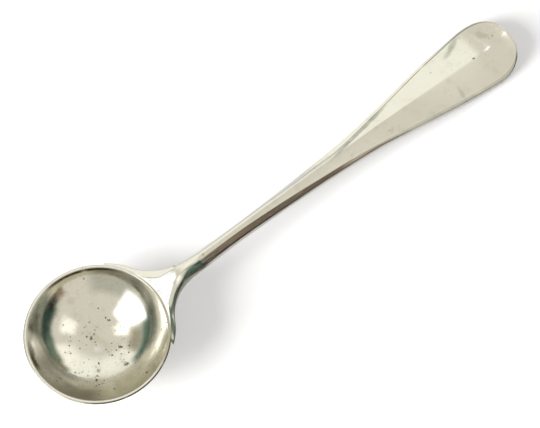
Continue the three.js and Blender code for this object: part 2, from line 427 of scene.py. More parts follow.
@dataclass(frozen=True)
class BowlSilver(WornSilver):
    """Salt-stained silver, pitted round the middle, with painted reflections: dark arcs on the
    wall, and partly the olive low on it.

    Args:
        rim_height: of the bowl's rim, along whose inner edge a painted shade line lies.
        rim_inside: radius inside the rim.
        line_depth: how far below the rim's top its dark lines lie.
        hollow_sphere: radius of the hollow's sphere.
        hollow_middle: height of that sphere's middle.
        stain_side: angle from X, in degrees, of the side with the most olive, partly painted
            reflection.
        pit_centre: x and y of the middle of the pitted patch.
        pit_radius: its radius.
        painted_reflection_arcs: the dark arcs on the wall, painted reflections of the dark room.
        stains: the brown arcs on the wall, partly stain and partly painted reflection.
        dull_side: angle from X, in degrees, of the side where the rim is dullest.
        dull_middle: radius of the dull spot in the middle.
    """

    rim_height: float = 7.15
    rim_inside: float = 11.0
    line_depth: float = 0.3
    hollow_sphere: float = 12.65
    hollow_middle: float = 13.4
    stain_side: float = 250.0
    pit_centre: Station = (-1.0, -1.5)
    pit_radius: float = 8.5
    painted_reflection_arcs: tuple[WallArc, ...] = (
        WallArc(120.0, 28.0, 9.5, -0.02, 1.35, 0.72),
        WallArc(170.0, 42.0, 7.7, -0.03, 0.5, 0.42),
        WallArc(345.0, 48.0, 8.95, 0.05, 0.55, 0.42),
        WallArc(38.0, 30.0, 9.3, 0.0, 1.2, 0.35),
    )
    stains: tuple[WallArc, ...] = (
        WallArc(195.0, 52.0, 9.9, 0.0, 1.9, 0.62),
        WallArc(150.0, 28.0, 10.7, 0.0, 0.5, 0.5),
        WallArc(128.0, 12.0, 10.2, 0.0, 0.5, 0.4),
    )
    dull_side: float = 332.0
    dull_middle: float = 1.9

    def film(self, board: NodeBoard, place: Wire) -> Wire:
        """Tarnish in clouds, olive low on one side, partly painted reflection, a dull middle and a
        dull rim.
        """
        x, y, _z = board.parts(place)
        cloud = board.noise(place, 3.2, 5.0, 0.65)
        # Olive low on one side of the wall: stain, and partly a painted reflection of the dark
        # room.
        low_wall = (toward((x, y), self.stain_side) + cloud * 3.0).ease(5.0, 10.0) * 0.85
        middle = board.noise(place, 1.8, 5.0, 0.7).ease(0.5, 0.7) * self.tarnish
        spot = (x.distance(y) + cloud - 0.5).ease(self.dull_middle, 0.0) * 0.6
        wall = (low_wall + middle + spot + cloud.ease(0.35, 0.85) * 0.15).least(1.0)
        dull = (toward((x, y), self.dull_side) + cloud * 2.0).ease(7.5, 11.5)
        rim = dull.ramp(0.0, 1.0, 0.3, 1.0)
        on_rim = x.distance(y).ease(self.rim_inside - 0.05, self.rim_inside + 0.1)
        return wall * (1.0 - on_rim) + rim * on_rim

    def shade(self, board: NodeBoard, place: Wire) -> Wire:
        """The dark arcs together, painted reflections of the dark room."""
        return self.arcs(board, place, self.painted_reflection_arcs)

    def arcs(self, board: NodeBoard, place: Wire, arcs: Sequence[WallArc]) -> Wire:
        """Some of the wall's arcs together, 0 to 1."""
        x, y, z = board.parts(place)
        cloud = board.noise(place, 2.0, 4.0, 0.6)
        total = sum(arc.mask((x, y), cloud) for arc in arcs)
        reach = x.distance(y).distance(z - self.hollow_middle)
        inside = reach.ease(self.hollow_sphere + 0.3, self.hollow_sphere + 0.15)
        below = x.distance(y).ease(self.rim_inside - 0.05, self.rim_inside - 0.2)
        return total.least(1.0) * inside * below

    def clusters(self, board: NodeBoard, place: Wire) -> Wire:
        """Pits round the middle and on the stained side."""
        x, y, _z = board.parts(place)
        away = (x - self.pit_centre[0]).distance(y - self.pit_centre[1])
        patch = away.ease(self.pit_radius, 0.5 * self.pit_radius)
        clouds = board.noise(place, 3.0, 2.0).ease(0.25, 0.7)
        return (patch * 0.75 + 0.15) * clouds * self.pits * 2.4

    def dirt_and_painted_shade(self, board: NodeBoard, place: Wire) -> Wire:
        """The brown stains, partly painted reflection, a painted shade line inside the rim on its
        left, and a dark line outside it on its right.
        """
        x, y, z = board.parts(place)
        radius = x.distance(y)
        rough = board.noise(place, 1.8, 3.0)
        height = z - (self.rim_height - self.line_depth)
        # Painted shade: a dark line just inside the rim, on its left side.
        inner = radius.ease(self.rim_inside + 0.2, self.rim_inside + 0.08)
        inner = height.size().ease(0.32, 0.1) * inner
        left = (x * 0.42 + y * 0.91 + rough).ease(8.8, 10.8)
        left = left + (y * 0.5 - x * 0.87).ease(8.5, 10.8) * 0.35
        outer = radius.ease(self.rim_inside + 0.25, self.rim_inside + 0.4)
        outer = outer * (rough * 1.5 - y + x * 0.03).ease(7.6, 9.8) * height.ease(-0.06, 0.06)
        lines = (inner * left.least(1.0) + outer) * rough.ease(0.15, 0.45)
        return lines.most(self.arcs(board, place, self.stains))


@dataclass(frozen=True)
class Smear:
    """One dull smear on the stem, seen from above.

    Args:
        x: of its middle.
        y: of its middle.
        turn: its angle from X, in degrees.
        half_length: along it.
        half_width: across it.
        strength: how dark it is, 0 to 1.
    """

    x: float
    y: float
    turn: float
    half_length: float
    half_width: float
    strength: float

    def mask(self, place: tuple[Wire, Wire], cloud: Wire) -> Wire:
        """How strong the smear is at a place, 0 to 1, with its edges made uneven by a noise."""
        place = place[0] - self.x, place[1] - self.y
        along = toward(place, self.turn) * (1.0 / self.half_length)
        across = toward(place, self.turn + 90.0) * (1.0 / self.half_width)
        return (along.distance(across) + (cloud - 0.5) * 1.4).ease(1.2, 0.35) * self.strength


@dataclass(frozen=True)
class StemLine:
    """One dark line along the stem; most are painted reflections of the shadowed table.

    Args:
        place: where it runs round the stem, 0 to 1 in the stem's own sheet of points.
        half_width: half its width there.
        strength: how dark it is, 0 to 1.
        start: x where it starts.
        end: x where it ends.
        fade: how gently it starts and ends.
    """

    place: float
    half_width: float
    strength: float
    start: float = 0.0
    end: float = 100.0
    fade: float = 1.0

    def mask(self, x: Wire, around: Wire) -> Wire:
        """How strong the line is at a place along and round the stem, 0 to 1."""
        line = (around - self.place).size().ease(self.half_width, 0.3 * self.half_width)
        line = line * x.ease(self.start - self.fade, self.start + self.fade)
        return line * x.ease(self.end + self.fade, self.end - self.fade) * self.strength


@dataclass(frozen=True)
class StemSilver(WornSilver):
    """Silver with dark lines along its edges, painted reflections of the shadowed table on its
    right side, and dull smears, two of them painted reflections.

    Args:
        lines: the dark lines, most of them painted reflections of the shadowed table.
        smears: the larger dull marks, two of them painted reflections.
    """

    lines: tuple[StemLine, ...] = ()
    smears: tuple[Smear, ...] = (
        Smear(56.0, 1.5, 9.5, 8.0, 0.42, 0.5),
        Smear(79.3, 4.3, 24.0, 2.9, 0.6, 0.4),
        # Painted reflection: a dark arc in the turned-up tip.
        Smear(84.6, 2.6, -62.0, 1.9, 0.6, 0.22),
        Smear(74.4, -3.4, 80.0, 1.3, 0.5, 0.2),
        Smear(60.2, -1.7, 30.0, 0.7, 0.35, 0.14),
        Smear(80.5, 0.1, -20.0, 0.28, 0.2, 0.9),
        Smear(21.3, 0.2, 60.0, 0.3, 0.16, 0.6),
        # Painted reflection: a dark teal streak at the top of the right bevel by the neck.
        Smear(20.6, -0.42, -2.0, 3.2, 0.16, 0.7),
    )

    def shade(self, board: NodeBoard, place: Wire) -> Wire:
        """The smears, two of them painted reflections, and faint clouds."""
        x, y, _z = board.parts(place)
        cloud = board.noise(place, 1.6, 4.0, 0.6)
        total = sum(smear.mask((x, y), cloud) for smear in self.smears)
        return (total + board.noise(place, 2.5, 5.0, 0.65).ease(0.5, 0.8) * 0.12).least(1.0)

    def dirt_and_painted_shade(self, board: NodeBoard, place: Wire) -> Wire:
        """The dark lines, most of them painted reflections, and a few small stains."""
        sheet = board.add("ShaderNodeUVMap", {"uv_map": SHEET}, {}, "UV")
        _along, around, _depth = board.parts(sheet)
        x, _y, _z = board.parts(place)
        total = sum(line.mask(x, around) for line in self.lines)
        patchy = board.noise(place, 3.0, 3.0).ease(0.2, 0.5).ramp(0.0, 1.0, 0.35, 1.0)
        return total * patchy + board.noise(place, 1.4, 3.0).ease(0.76, 0.84) * 0.5


def smooth_through(stations: Sequence[Station], x: float) -> float:
    """A smooth value through the ones given at the stations, level past both ends."""
    if x <= stations[0][0]:
        return stations[0][1]
    if x >= stations[-1][0]:
        return stations[-1][1]
    last = len(stations) - 1
    i = next(k for k in range(last) if x <= stations[k + 1][0])

    def slope(k: int) -> float:
        """Slope at a station, from its neighbours."""
        a, b = stations[max(k - 1, 0)], stations[min(k + 1, last)]
        return (b[1] - a[1]) / (b[0] - a[0])

    (x0, v0), (x1, v1) = stations[i], stations[i + 1]
    span = x1 - x0
    t = (x - x0) / span
    bend = t * (1 - t) * span
    return v0 + (v1 - v0) * t * t * (3 - 2 * t) + bend * ((1 - t) * slope(i) - t * slope(i + 1))


def spread(start: float, end: float, steps: int) -> list[float]:
    """Evenly spaced values from start to end, both included."""
    return [start + (end - start) * i / steps for i in range(steps + 1)]


def mesh_from_rings(
    name: str, rings: Sequence[Sequence[Point]], sheet: bool = False
) -> bpy.types.Mesh:
    """Joins rings that have as many points each into one closed skin.

    Args:
        name: the mesh's name.
        rings: closed rings of points, in millimetres.
        sheet: whether the skin's UV map is filled, u by the ring and v by the point in it.

    Returns:
        The mesh, in metres, with its faces pointing out.
    """
    count, last = len(rings[0]), len(rings) - 1
    corners = [
        ((s, k), (s, k + 1), (s + 1, k + 1), (s + 1, k)) for s in range(last) for k in range(count)
    ]
    caps = [tuple((0, k) for k in reversed(range(count))), tuple((last, k) for k in range(count))]
    every = (*corners, *caps)
    faces = [tuple(s * count + k % count for s, k in face) for face in every]
    mesh = bpy.data.meshes.new(name)
    mesh.from_pydata([tuple(c * MM for c in point) for ring in rings for point in ring], [], faces)
    layer = mesh.uv_layers.new(name=SHEET)
    places = [(s / last, k / count) if sheet else (0.5, 0.5) for face in every for s, k in face]
    layer.uv.foreach_set("vector", [value for place in places for value in place])
    tidy_mesh(mesh)
    return mesh


def tidy_mesh(mesh: bpy.types.Mesh, merge: float = 0.0004) -> None:
    """Merges doubles within merge millimetres and turns all the faces outwards."""
    work = bmesh.new()
    work.from_mesh(mesh)
    bmesh.ops.remove_doubles(work, verts=work.verts, dist=merge * MM)
    bmesh.ops.recalc_face_normals(work, faces=work.faces)
    work.to_mesh(mesh)
    work.free()


def placed(name: str, mesh: bpy.types.Mesh) -> bpy.types.Object:
    """Puts a mesh in the scene as an object at the origin."""
    piece = bpy.data.objects.new(name, mesh)
    bpy.context.scene.collection.objects.link(piece)
    return piece


def settled(piece: bpy.types.Object) -> None:
    """Turns a piece's modifiers into its plain mesh."""
    bpy.context.view_layer.update()
    shaped = piece.evaluated_get(bpy.context.evaluated_depsgraph_get())
    mesh = bpy.data.meshes.new_from_object(shaped)
    piece.modifiers.clear()
    piece.data = mesh


def cut_with(piece: bpy.types.Object, tool: bpy.types.Object, operation: str) -> None:
    """Cuts a piece with a closed tool, and keeps the plain mesh."""
    cut = piece.modifiers.new("cut", "BOOLEAN")
    cut.object = tool
    cut.operation = operation
    cut.solver = "EXACT"
    settled(piece)


def soften(piece: bpy.types.Object, sharpest: float = 23.0) -> None:
    """Shades a piece smooth, with edges above an angle in degrees left crisp."""
    piece.data.shade_smooth()
    piece.data.set_sharp_from_angle(angle=math.radians(sharpest))


def dress(piece: bpy.types.Object, finish: bpy.types.Material, node: str) -> None:
    """Gives a piece its finish and lets it stand for its CAD node.

    Args:
        piece: the piece, at the origin.
        finish: its only material.
        node: the CAD node that it stands for.
    """
    piece.data.materials.clear()
    piece.data.materials.append(finish)
    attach(piece, "root")
    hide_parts(node)
    LOG.info("%s: %d faces", piece.name, len(piece.data.polygons))


@dataclass
class Bowl:
    """Round bowl with a worn, softly rounded rim, turned from a profile.

    Args:
        outer_radius: of the rim, outside.
        rim_height: of the rim above the table.
        wall: of the rim.
        floor: thickness at the middle.
        flat_radius: of the small worn flat underneath.
        rim_round: radius of the rim's two edges.
        around: steps round the bowl.
        steps: steps of the flat, outside, outer edge, rim, inner edge and inside.
    """

    outer_radius: float
    rim_height: float
    wall: float = 0.6
    floor: float = 0.75
    flat_radius: float = 2.4
    rim_round: float = 0.17
    around: int = 320
    steps: tuple[int, ...] = (3, 60, 8, 2, 8, 70)

    @classmethod
    def from_frame(cls) -> Bowl:
        """Reads the bowl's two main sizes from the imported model."""
        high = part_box("bowl")[1]
        return cls(outer_radius=high.y / MM, rim_height=high.z / MM)

    @property
    def inner_radius(self) -> float:
        """Radius inside the rim."""
        return self.outer_radius - self.wall

    @property
    def outer_middle(self) -> float:
        """Height of the middle of the outside's sphere, which the worn flat cuts short."""
        height = self.rim_height
        return (self.outer_radius**2 - self.flat_radius**2 + height**2) / (2 * height)

    @property
    def outer_sphere(self) -> float:
        """Radius of the outside's sphere."""
        return math.hypot(self.flat_radius, self.outer_middle)

    @property
    def hollow_sphere(self) -> float:
        """Radius of the hollow's sphere."""
        depth = self.rim_height - self.floor
        return (self.inner_radius**2 + depth**2) / (2 * depth)

    @property
    def outer_end(self) -> float:
        """Angle, from straight down, where the outside meets the rim's outer edge."""
        rise = self.outer_middle - self.rim_height + self.rim_round
        return math.acos(rise / (self.outer_sphere - self.rim_round))

    @property
    def inner_end(self) -> float:
        """Angle, from straight down, where the hollow meets the rim's inner edge."""
        rise = self.floor + self.hollow_sphere - self.rim_height + self.rim_round
        return math.acos(rise / (self.hollow_sphere + self.rim_round))

    def rim_radius(self, grow: float) -> float:
        """Radius, at the rim's height, of the outside grown by a distance."""
        rise = self.outer_middle - self.rim_height
        return math.sqrt((self.outer_sphere + grow) ** 2 - rise**2)

    def tree(self, finish: bpy.types.Material) -> bpy.types.GeometryNodeTree:
        """Builds the tree that turns the bowl.

        Args:
            finish: the bowl's material.

        Returns:
            The tree, with its sizes as named inputs.
        """
        tree = bpy.data.node_groups.new("bowl_turning", "GeometryNodeTree")
        tree.interface.new_socket("Geometry", in_out="OUTPUT", socket_type="NodeSocketGeometry")
        for name in self.sizes():
            tree.interface.new_socket(name, in_out="INPUT", socket_type="NodeSocketFloat")
        board = NodeBoard(tree)
        size = {name: board.add("NodeGroupInput", {}, {}, name) for name in self.sizes()}
        total = sum(self.steps)
        edges = [sum(self.steps[:i]) / total for i in range(len(self.steps) + 1)]
        points = {"Vertices X": self.around + 1, "Vertices Y": total + 1}
        grid = {"Size X": 1.0, "Size Y": 1.0, **points}
        mesh = board.add("GeometryNodeMeshGrid", {}, grid, "Mesh")
        across, along, _flat = board.parts(board.add("GeometryNodeInputPosition"))
        across, along = across + 0.5, along + 0.5
        stretch = [along.ramp(low, high) for low, high in zip(edges, edges[1:])]
        radius, height = self.profile(size, stretch)
        angle = across * math.tau
        place = board.joined(angle.cosine() * radius, angle.sine() * radius, height)
        for kind, values in (
            ("GeometryNodeSetPosition", {"Position": place}),
            ("GeometryNodeMergeByDistance", {"Distance": 0.0005 * MM}),
            ("GeometryNodeSetShadeSmooth", {}),
            ("GeometryNodeRealizeInstances", {}),
            ("GeometryNodeSetMaterial", {"Material": finish}),
        ):
            mesh = board.add(kind, {}, {"Geometry": mesh, **values}, "Geometry")
        end = tree.nodes.new("NodeGroupOutput")
        tree.links.new(mesh.socket, end.inputs["Geometry"])
        return tree

    def sizes(self) -> dict[str, float]:
        """The tree's named inputs, in metres and radians."""
        return {
            "Outer Sphere": self.outer_sphere * MM,
            "Hollow Sphere": self.hollow_sphere * MM,
            "Flat Radius": self.flat_radius * MM,
            "Rim Round": self.rim_round * MM,
            "Outer End": self.outer_end,
            "Inner End": self.inner_end,
        }

    @staticmethod
    def profile(size: Mapping[str, Wire], stretch: Sequence[Wire]) -> tuple[Wire, Wire]:
        """The bowl's profile, from the middle below, over the rim, to the middle inside.

        Args:
            size: the tree's named inputs.
            stretch: how far along each of the profile's six stretches a point is, 0 to 1.

        Returns:
            The radius and the height.
        """
        flat, foot, outer_edge, rim, inner_edge, hollow = stretch
        lip, outside, cup = size["Rim Round"], size["Outer Sphere"], size["Hollow Sphere"]
        outer_end, inner_end = size["Outer End"], size["Inner End"]
        start = (size["Flat Radius"] / outside).arcsine()
        out = start + (outer_end - start) * foot
        turn = outer_end + (math.pi - outer_end) * outer_edge
        back = inner_edge * inner_end
        inside = inner_end * (1.0 - hollow)
        rim_run = (cup + lip) * inner_end.sine() - (outside - lip) * outer_end.sine()
        radius = size["Flat Radius"] * flat + outside * (out.sine() - start.sine())
        radius = radius + lip * (turn.sine() - outer_end.sine() - back.sine()) + rim_run * rim
        radius = radius + cup * (inside.sine() - inner_end.sine())
        height = outside * (start.cosine() - out.cosine())
        height = height + cup * (inner_end.cosine() - inside.cosine())
        height = height + lip * (outer_end.cosine() - turn.cosine() + back.cosine() - 1.0)
        return radius, height

    def build(self, finish: bpy.types.Material) -> bpy.types.Object:
        """Turns the bowl.

        Args:
            finish: its material.

        Returns:
            The piece, as a plain mesh.
        """
        piece = placed("bowl_turned", bpy.data.meshes.new("bowl_turned"))
        turning = piece.modifiers.new("turning", "NODES")
        turning.node_group = self.tree(finish)
        for item in turning.node_group.interface.items_tree:
            if item.in_out == "INPUT":
                turning[item.identifier] = self.sizes()[item.name]
        settled(piece)
        return piece

    def envelope(self, name: str, grow: float = 0.0, top: float = 12.0) -> bpy.types.Object:
        """The bowl's outside, filled and grown, carried straight up past the rim.

        Args:
            name: the object's name.
            grow: how far it stands off the bowl; at 0 it follows the rim's rounded outer edge.
            top: how far it reaches above the rim.

        Returns:
            A closed tool for cutting.
        """
        sphere, middle, lip = self.outer_sphere + grow, self.outer_middle, self.rim_round
        end = math.acos((middle - self.rim_height) / sphere) if grow else self.outer_end
        foot, rim = spread(0.02, end, 120), self.rim_height
        profile = [(sphere * math.sin(a), middle - sphere * math.cos(a)) for a in foot]
        if grow == 0:
            run = (sphere - lip) * math.sin(end)
            turn = spread(end, math.pi, 12)[1:]
            profile += [(run + lip * math.sin(a), rim - lip * (1 + math.cos(a))) for a in turn]
        profile.append((profile[-1][0], rim + top))
        turns = spread(0, math.tau, self.around)[:-1]
        rings = [[(r * math.cos(t), r * math.sin(t), z) for t in turns] for r, z in profile]
        return placed(name, mesh_from_rings(name, rings))


@dataclass
class Stem:
    """Stem: web and wings round the rim, slim neck, and a ridged handle that turns up at its tip.

    Each tuple of stations gives a size at places along x, joined by a smooth curve.

    Args:
        bowl: the bowl that it clasps.
        seam: width of the soldered seam between them.
        neck: x at the neck.
        rest: x where the handle rests on the table.
        tip: x of the tip.
        most_drop: share of the side's height that a shoulder may fall.
        most_shoulder: share of half the width that a shoulder may take.
        bar_steps: steps of the web, the shaft and the tip.
        heel_steps: steps along the heel and across it.
        heel_inset: how far the heel reaches past the bowl's skin, to be cut back.
    """

    bowl: Bowl
    seam: float = 0.31
    neck: float = 20.0
    rest: float = 80.0
    tip: float = 88.0
    fillet_radius: float = 9.2
    wing_lip: float = 0.3
    wing_reach: float = math.radians(48.0)
    web_length: float = 2.6
    neck_half_width: float = 1.35
    keel_depth: float = 3.9
    keel_half_width: float = 3.2
    crest_wear: float = 0.22
    tip_upturn: float = 1.9
    upturn_length: float = 6.8
    tip_bluntness: float = 2.62
    tip_squareness: float = 2.27
    nose_round: float = 0.4
    heel_reach: float = 5.4
    heel_half_width: float = 2.3
    heel_thickness: float = 0.95
    heel_end_thickness: float = 0.12
    heel_top: float = math.radians(62.5)
    half_widths: tuple[Station, ...] = (
        (30, 1.3), (46, 1.85), (56, 2.55), (64, 3.65), (72, 4.85), (80, 5.72), (88, 6.57)
    )
    backs: tuple[Station, ...] = (
        (20, 3.6), (30, 3.2), (46, 2.3), (56, 1.8), (64, 1.3), (72, 0.6), (80, -0.06)
    )
    tops: tuple[Station, ...] = (
        (16.4, 7.06), (20.2, 6.02), (22, 5.86), (30, 5.58), (46, 4.62), (64, 3.85), (80, 2.24),
        (88, 1.64),
    )
    ridges: tuple[Station, ...] = (
        (20, 0.1), (30, 0.15), (40, 0.3), (46, 0.43), (56, 0.7), (64, 0.9), (80, 0.7), (88, 0.12)
    )
    bulges: tuple[Station, ...] = ((20, 0.8), (30, 0.75), (46, 0.7), (64, 0.6), (80, 0.5))
    side_depths: tuple[Station, ...] = (
        (7.8, 0.35), (9, 0.9), (11, 1.45), (14.2, 2.1), (17, 2.55), (20, 2.75)
    )
    fullness: tuple[Station, ...] = ((20, 2.0), (46, 2.1), (64, 2.5), (80, 3.0))
    crests: tuple[Station, ...] = (
        (16, 0.32), (20, 0.34), (30, 0.39), (40, 0.45), (50, 0.46), (56, 0.37), (66, 0.16),
        (80, -0.02),
    )
    left_shoulders: tuple[Station, ...] = (
        (9, 1.6), (11, 2.1), (13, 2.0), (14.3, 1.4), (15.2, 1.05), (17, 0.62), (20, 0.52),
        (30, 0.5), (36, 0.56), (40, 0.69), (46, 0.8), (50, 0.98), (54, 0.82), (58, 0.65),
        (62, 0.6), (70, 0.5), (80, 0.3),
    )
    right_shoulders: tuple[Station, ...] = (
        (9, 1.2), (11, 1.4), (13, 1.2), (15, 1.35), (17, 1.32), (19, 1.26), (22, 1.1), (30, 1.02),
        (38, 0.9), (42, 0.79), (46, 0.68), (50, 0.6), (56, 0.37), (60, 0.3)
    )
    left_drops: tuple[Station, ...] = (
        (9, 0.6), (14.2, 0.9), (18, 0.65), (36, 0.65), (46, 0.5), (64, 0.28)
    )
    right_drops: tuple[Station, ...] = (
        (9, 0.6), (14.2, 1.1), (20, 1.35), (30, 1.3), (38, 1.1), (46, 0.9), (56, 0.45), (64, 0.28)
    )
    bevels: tuple[Station, ...] = (
        (9, 0.5), (11, 0.3), (13, 0.1), (18, 0.1), (21, 0.3), (24, 0.5), (50, 0.6), (62, 0.35),
        (84, 0.3),
    )
    steepnesses: tuple[Station, ...] = (
        (9, 0.9), (11, 0.7), (13, 0.45), (16, 0.45), (19, 0.7), (22, 0.85), (60, 0.85)
    )
    facet_steps: tuple[float, ...] = (0.0, 0.04, 0.08, 0.13, 0.19, 0.27, 0.38, 0.52, 0.7, 0.88)
    shoulder_steps: int = 10
    back_steps: int = 24
    most_drop: float = 0.97
    most_shoulder: float = 0.92
    bar_steps: tuple[int, int, int] = (80, 210, 60)
    heel_steps: tuple[int, int] = (48, 24)
    heel_inset: float = 0.5

    @property
    def seam_radius(self) -> float:
        """Radius of the stem's hollow at the rim, where it meets the seam."""
        return self.bowl.rim_radius(self.seam)

    @property
    def web(self) -> float:
        """x where the web ends and the neck starts."""
        return self.bowl.outer_radius + self.web_length

    @property
    def wing_end(self) -> float:
        """x of the wings' ends."""
        return self.seam_radius * math.cos(self.wing_reach)

    def half_width(self, x: float) -> float:
        """Half the width in plan."""
        circle = self.seam_radius + self.wing_lip
        fillet_y = self.neck_half_width + self.fillet_radius
        fillet_x = math.sqrt((circle + self.fillet_radius) ** 2 - fillet_y**2)
        touch = fillet_x * circle / (circle + self.fillet_radius)
        if x < touch:
            lip = self.wing_lip * (x - self.wing_end) / (touch - self.wing_end)
            return math.sqrt((self.seam_radius + lip) ** 2 - x * x)
        if x < fillet_x:
            return fillet_y - math.sqrt(self.fillet_radius**2 - (fillet_x - x) ** 2)
        stations = ((fillet_x, self.neck_half_width), *self.half_widths)
        u = max(0.0, (x - self.rest) / (self.tip - self.rest))
        taper = (1 - u**self.tip_bluntness) ** (1 / self.tip_squareness)
        return smooth_through(stations, x) * taper

    def lift(self, x: float) -> float:
        """How far the tip has turned up."""
        u = max(0.0, (x - self.tip + self.upturn_length) / self.upturn_length)
        return self.tip_upturn * u * u

    def nose(self, x: float) -> float:
        """How far the rounding of the tip's end takes both faces in."""
        u = max(0.0, 1 - (self.tip - x) / self.nose_round)
        return self.nose_round * (1 - math.sqrt(1 - u * u))

    def ring(self, x: float) -> list[Point]:
        """One ring of points round the stem, square to the bowl-to-tip line."""

        def here(stations: Sequence[Station]) -> float:
            """The smooth value of some stations at this x."""
            return smooth_through(stations, x)

        rim = self.bowl.rim_height
        lift, nose, half = self.lift(x), self.nose(x), self.half_width(x)
        back = here(((self.web, rim - self.keel_depth), *self.backs)) + lift + nose
        top = here(((self.web, rim), *self.tops)) + lift - nose
        edge = top - here(((self.web, 0.0), *self.ridges))
        side = rim - here(self.side_depths) if x < self.neck else back + here(self.bulges)
        bevel = (here(self.bevels), here(self.steepnesses))
        most = self.most_drop * (edge - side)
        left_drop, right_drop = min(here(self.left_drops), most), min(here(self.right_drops), most)
        crest = max(-0.4 * half, min(here(self.crests), 0.5 * half))
        left = min(here(self.left_shoulders), self.most_shoulder * (half - crest))
        right = min(here(self.right_shoulders), self.most_shoulder * (half + crest))
        upper_left = self.upper(crest, half, left, (top, edge, left_drop), bevel)
        upper_right = self.upper(-crest, half, right, (top, edge, right_drop), bevel)
        upper_right = [(-y, z) for y, z in upper_right]
        lower_left = self.lower(half, side, back, here(self.fullness))
        lower_right = [(-y, z) for y, z in lower_left]
        outline = upper_left + lower_left + lower_right[-2::-1] + upper_right[:0:-1]
        return [(x, y, max(z, 0.0)) for y, z in outline]

    def upper(
        self,
        crest: float,
        half: float,
        shoulder: float,
        heights: tuple[float, float, float],
        bevel: Station,
    ) -> list[Station]:
        """Half of the upper face, from the worn crest over the facet and the shoulder to the side.

        Args:
            crest: y of the crest.
            half: half the width.
            shoulder: width of the shoulder.
            heights: of the crest and of the facet's outer edge, and how far the shoulder falls.
            bevel: share of the shoulder's width that is straight, and how steeply it falls there.

        Returns:
            Points of y and z.
        """
        top, edge, drop = heights
        arris = half - shoulder
        reach = arris - crest
        ease = self.crest_wear / max(reach, 0.3)
        points = []
        for t in self.facet_steps:
            fall = (top - edge) * (math.hypot(t, ease) - ease) / (math.hypot(1, ease) - ease)
            points.append((crest + reach * t, top - fall))
        slope = (top - edge) / reach * shoulder / drop
        straight, steep = bevel[0], min(max(bevel[1], slope), 0.98)
        for out in spread(0.0, straight, 2)[:-1]:
            points.append((arris + shoulder * out, edge - drop * steep * out))
        for t in spread(0.0, 1.0, self.shoulder_steps - 2):
            out = straight + (1 - straight) * t * (2 - t)
            fall = steep * (straight * (1 - t) ** 2 + 2 * t * (1 - t)) + t * t
            points.append((arris + shoulder * out, edge - drop * fall))
        return points

    def lower(self, half: float, side: float, back: float, fullness: float) -> list[Station]:
        """Half of the lower face, from the side to the middle of the back.

        Args:
            half: half the width.
            side: height where the side starts to turn under.
            back: height of the back's middle.
            fullness: 2 gives half an ellipse and more a flatter back. A wide stem gets a keel.

        Returns:
            Points of y and z.
        """
        narrow = min(self.keel_half_width / half, 0.95)
        slimness = ((math.log(0.5) / math.log(1 - narrow**2)) ** 4 + fullness**-4) ** 0.25
        points = []
        for t in spread(0.0, 1.0, self.back_steps):
            y = math.cos(math.pi / 2 * t**1.5)
            points.append((half * y, side - (side - back) * (1 - y**fullness) ** slimness))
        points[-1] = (0.0, back)
        return points

    def bar(self) -> bpy.types.Object:
        """The stem from the wings' ends to the tip, before the bowl's hollow is cut."""
        web_steps, shaft_steps, steps = self.bar_steps
        slim = self.web + 4
        places = spread(self.wing_end, slim, web_steps) + spread(slim, self.rest, shaft_steps)[1:]
        places += [
            self.rest + (self.tip - self.rest) * (1 - (1 - i / steps) ** self.tip_squareness)
            for i in range(1, steps)
        ]
        last = self.tip - self.nose_round / 80
        places = [x for x in places if x < last - 0.001] + [last]
        rings = [self.ring(x) for x in places]
        return placed("stem_forged", mesh_from_rings("stem_forged", rings, sheet=True))

    def dark_lines_and_reflections(self) -> tuple[StemLine, ...]:
        """Dark lines along the two long edges; painted reflections of the shadowed table at the
        right bevel's foot and on the right side.
        """
        facet = len(self.facet_steps)
        count = 2 * (facet + self.shoulder_steps + 1 + self.back_steps)
        fine, neck = 0.45 / count, 21.0
        return (
            StemLine(facet / count, fine, 0.7),
            StemLine(1 - facet / count, fine, 0.3),
            # Painted reflections of the shadowed table: the right bevel's foot and the right side.
            StemLine(1 - (facet + 3.2) / count, 2 * fine, 0.85, start=neck),
            StemLine(1 - (facet + 8.5) / count, 5 * fine, 0.45, start=neck),
            StemLine(1 - (facet + 7.2) / count, 5 * fine, 0.95, end=neck),
            StemLine(1 - (facet + 13.0) / count, 3 * fine, 0.5, end=neck),
        )

    def heel(self) -> bpy.types.Object:
        """The tongue that laps under the bowl, thinning and rounding off towards its end."""
        radius, middle = self.bowl.outer_sphere + self.seam, self.bowl.outer_middle
        end = math.asin((self.bowl.outer_radius - self.heel_reach) / radius)
        length_steps, width_steps = self.heel_steps
        rings = []
        for t in spread(0.0, 1.0, length_steps):
            angle = end + (self.heel_top - end) * t
            run = radius * (angle - end)
            blunt = min(1.0, run / self.heel_half_width)
            half = max(self.heel_half_width * math.sqrt(1 - (1 - blunt) ** 2), 0.02)
            thick = self.heel_end_thickness + (self.heel_thickness - self.heel_end_thickness) * t
            outer, inner = [], []
            for s in spread(-1.0, 1.0, width_steps):
                swing = half * s / max(radius * math.sin(angle), 0.5)
                crown = thick * (1 - abs(s) ** 5) ** 0.5 * min(1.0, blunt * 2)
                for side, off in ((outer, crown), (inner, -self.heel_inset)):
                    r = (radius + off) * math.sin(angle)
                    z = middle - (radius + off) * math.cos(angle)
                    side.append((r * math.cos(swing), r * math.sin(swing), z))
            rings.append(outer + inner[::-1])
        return placed("heel_tongue", mesh_from_rings("heel_tongue", rings))

    def build(self) -> bpy.types.Object:
        """Forges the stem in one with its heel, before the bowl's hollow is cut."""
        piece = self.bar()
        heel = self.heel()
        cut_with(piece, heel, "UNION")
        bpy.data.objects.remove(heel)
        return piece


